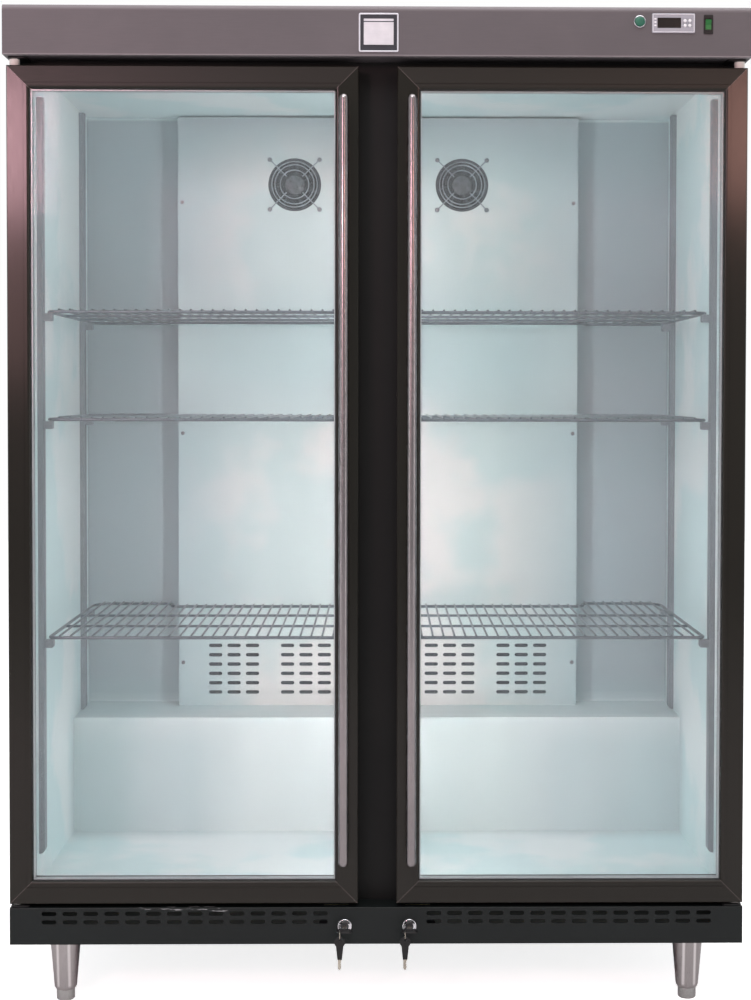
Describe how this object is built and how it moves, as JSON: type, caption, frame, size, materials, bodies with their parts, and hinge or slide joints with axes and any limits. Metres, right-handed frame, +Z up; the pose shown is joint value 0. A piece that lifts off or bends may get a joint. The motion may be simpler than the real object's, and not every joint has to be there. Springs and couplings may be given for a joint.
{
  "type": "upright glass door display cooler",
  "caption": "Upright display cooler with hinged glass doors, a lit storage space with wire shelves, a canopy with temperature controls and a slotted base on levelling feet.",
  "frame": {"origin": "on the floor, under the middle of the whole cooler with its handles", "axes": "+Z up, the doors face -Y, +X to the right of someone facing the doors"},
  "size_m": [1.3, 0.7, 1.755],
  "materials": {
    "canopy_paint": "satin",
    "door_paint": "satin",
    "mullion_paint": "satin",
    "base_paint": "satin",
    "body_paint": "satin",
    "lining_white": "satin",
    "back_sheet": "satin",
    "foam": "matte",
    "shelf_coating": "satin",
    "upright_steel": "satin",
    "handle_metal": "satin",
    "leg_steel": "brushed",
    "foot_steel": "satin",
    "gasket_rubber": "matte",
    "pane_glass": "gloss",
    "spacer_metal": "satin",
    "case_black": "satin",
    "case_silver": "satin",
    "key_silver": "satin",
    "nylon_white": "satin",
    "lock_chrome": "polished",
    "key_steel": "satin",
    "hardware_black": "satin",
    "pilot_green": "gloss",
    "rocker_green": "gloss",
    "tube_white": "satin",
    "cover_white": "satin",
    "fan_plastic": "satin",
    "guard_wire": "satin",
    "fin_aluminium": "satin",
    "pipe_copper": "satin",
    "compressor_black": "satin",
    "screw_steel": "satin"
  },
  "bodies": {
    "cabinet": {"back_panels": "back_sheet", "base_grille": "base_paint", "base_tray": "base_paint", "canopy": "canopy_paint", "center_mullion": "mullion_paint", "compressor": "compressor_black", "condenser": "fin_aluminium", "controller_case": "case_silver", "cord_gland": "case_black", "evaporator_coil": "fin_aluminium", "evaporator_cover": "cover_white", "fan_frames": "fan_plastic", "fan_guards": "guard_wire", "front_frame": "mullion_paint", "hinge_brackets": "hardware_black", "hinge_bushes": "nylon_white", "inner_liner": "lining_white", "insulation_foam": "foam", "legs": "leg_steel", "light_tube": "tube_white", "lock_barrels": "lock_chrome", "outer_shell": "body_paint", "pilot_lamp": "pilot_green", "refrigerant_pipes": "pipe_copper", "screws": "screw_steel", "shelf_clips": "upright_steel", "shelf_pilasters": "upright_steel", "switch_frame": "case_black"},
    "door_left": {"door_left_frame": "door_paint", "door_left_gasket": "gasket_rubber", "door_left_glass": "pane_glass", "door_left_handle": "handle_metal", "door_left_spacer": "spacer_metal"},
    "door_right": {"door_right_frame": "door_paint", "door_right_gasket": "gasket_rubber", "door_right_glass": "pane_glass", "door_right_handle": "handle_metal", "door_right_spacer": "spacer_metal"},
    "shelf_left_bottom": {"shelf_left_bottom": "shelf_coating"},
    "shelf_left_middle": {"shelf_left_middle": "shelf_coating"},
    "shelf_left_top": {"shelf_left_top": "shelf_coating"},
    "shelf_right_bottom": {"shelf_right_bottom": "shelf_coating"},
    "shelf_right_middle": {"shelf_right_middle": "shelf_coating"},
    "shelf_right_top": {"shelf_right_top": "shelf_coating"},
    "fan_rotor_left": {"fan_rotor_left": "fan_plastic"},
    "fan_rotor_right": {"fan_rotor_right": "fan_plastic"},
    "condenser_fan_rotor": {"condenser_fan_rotor": "fan_plastic"},
    "switch_rocker": {"switch_rocker": "rocker_green"},
    "controller_key_set": {"controller_key_set": "key_silver"},
    "controller_key_down": {"controller_key_down": "key_silver"},
    "controller_key_up": {"controller_key_up": "key_silver"},
    "controller_key_defrost": {"controller_key_defrost": "key_silver"},
    "lock_core_left": {"lock_core_left": "key_steel"},
    "spare_key_left": {"spare_key_left": "key_steel"},
    "lock_core_right": {"lock_core_right": "key_steel"},
    "spare_key_right": {"spare_key_right": "key_steel"},
    "foot_front_left": {"foot_front_left": "foot_steel"},
    "foot_front_right": {"foot_front_right": "foot_steel"},
    "foot_rear_left": {"foot_rear_left": "foot_steel"},
    "foot_rear_right": {"foot_rear_right": "foot_steel"}
  },
  "joints": [
    {"name": "door_left_hinge", "type": "hinge", "parent": "cabinet", "child": "door_left", "pos_m": [-0.635, -0.281, 0.918], "axis": [0, 0, -1], "range_deg": [0, 110]},
    {"name": "door_right_hinge", "type": "hinge", "parent": "cabinet", "child": "door_right", "pos_m": [0.635, -0.281, 0.918], "axis": [0, 0, 1], "range_deg": [0, 110]},
    {"name": "shelf_left_bottom_lift", "type": "slide", "parent": "cabinet", "child": "shelf_left_bottom", "axis": [0, 0, 1], "range_m": [0, 0.03]},
    {"name": "shelf_left_middle_lift", "type": "slide", "parent": "cabinet", "child": "shelf_left_middle", "axis": [0, 0, 1], "range_m": [0, 0.03]},
    {"name": "shelf_left_top_lift", "type": "slide", "parent": "cabinet", "child": "shelf_left_top", "axis": [0, 0, 1], "range_m": [0, 0.03]},
    {"name": "shelf_right_bottom_lift", "type": "slide", "parent": "cabinet", "child": "shelf_right_bottom", "axis": [0, 0, 1], "range_m": [0, 0.03]},
    {"name": "shelf_right_middle_lift", "type": "slide", "parent": "cabinet", "child": "shelf_right_middle", "axis": [0, 0, 1], "range_m": [0, 0.03]},
    {"name": "shelf_right_top_lift", "type": "slide", "parent": "cabinet", "child": "shelf_right_top", "axis": [0, 0, 1], "range_m": [0, 0.03]},
    {"name": "fan_rotor_left_spin", "type": "hinge", "parent": "cabinet", "child": "fan_rotor_left", "pos_m": [-0.174, 0.2705, 1.517], "axis": [0, 1, 0], "continuous": true},
    {"name": "fan_rotor_right_spin", "type": "hinge", "parent": "cabinet", "child": "fan_rotor_right", "pos_m": [0.174, 0.2705, 1.517], "axis": [0, 1, 0], "continuous": true},
    {"name": "condenser_fan_spin", "type": "hinge", "parent": "cabinet", "child": "condenser_fan_rotor", "pos_m": [-0.363, 0.2475, 0.237], "axis": [1, 0, 0], "continuous": true},
    {"name": "switch_rocker_tilt", "type": "hinge", "parent": "cabinet", "child": "switch_rocker", "pos_m": [0.5735, -0.31, 1.7243], "axis": [-1, 0, 0], "range_deg": [0, 16]},
    {"name": "controller_key_set_press", "type": "slide", "parent": "cabinet", "child": "controller_key_set", "axis": [0, 1, 0], "range_m": [0, 0.0008], "stiffness_N_per_m": 600},
    {"name": "controller_key_down_press", "type": "slide", "parent": "cabinet", "child": "controller_key_down", "axis": [0, 1, 0], "range_m": [0, 0.0008], "stiffness_N_per_m": 600},
    {"name": "controller_key_up_press", "type": "slide", "parent": "cabinet", "child": "controller_key_up", "axis": [0, 1, 0], "range_m": [0, 0.0008], "stiffness_N_per_m": 600},
    {"name": "controller_key_defrost_press", "type": "slide", "parent": "cabinet", "child": "controller_key_defrost", "axis": [0, 1, 0], "range_m": [0, 0.0008], "stiffness_N_per_m": 600},
    {"name": "lock_core_left_turn", "type": "hinge", "parent": "cabinet", "child": "lock_core_left", "pos_m": [-0.057, -0.292, 0.144], "axis": [0, 1, 0], "range_deg": [0, 90]},
    {"name": "spare_key_left_swing", "type": "hinge", "parent": "lock_core_left", "child": "spare_key_left", "pos_m": [-0.065, -0.33675, 0.144], "axis": [0, 1, 0], "range_deg": [-20, 20]},
    {"name": "lock_core_right_turn", "type": "hinge", "parent": "cabinet", "child": "lock_core_right", "pos_m": [0.057, -0.292, 0.144], "axis": [0, -1, 0], "range_deg": [0, 90]},
    {"name": "spare_key_right_swing", "type": "hinge", "parent": "lock_core_right", "child": "spare_key_right", "pos_m": [0.049, -0.33675, 0.144], "axis": [0, 1, 0], "range_deg": [-20, 20]},
    {"name": "foot_front_left_adjust", "type": "slide", "parent": "cabinet", "child": "foot_front_left", "axis": [0, 0, -1], "range_m": [0, 0.02]},
    {"name": "foot_front_right_adjust", "type": "slide", "parent": "cabinet", "child": "foot_front_right", "axis": [0, 0, -1], "range_m": [0, 0.02]},
    {"name": "foot_rear_left_adjust", "type": "slide", "parent": "cabinet", "child": "foot_rear_left", "axis": [0, 0, -1], "range_m": [0, 0.02]},
    {"name": "foot_rear_right_adjust", "type": "slide", "parent": "cabinet", "child": "foot_rear_right", "axis": [0, 0, -1], "range_m": [0, 0.02]}
  ]
}
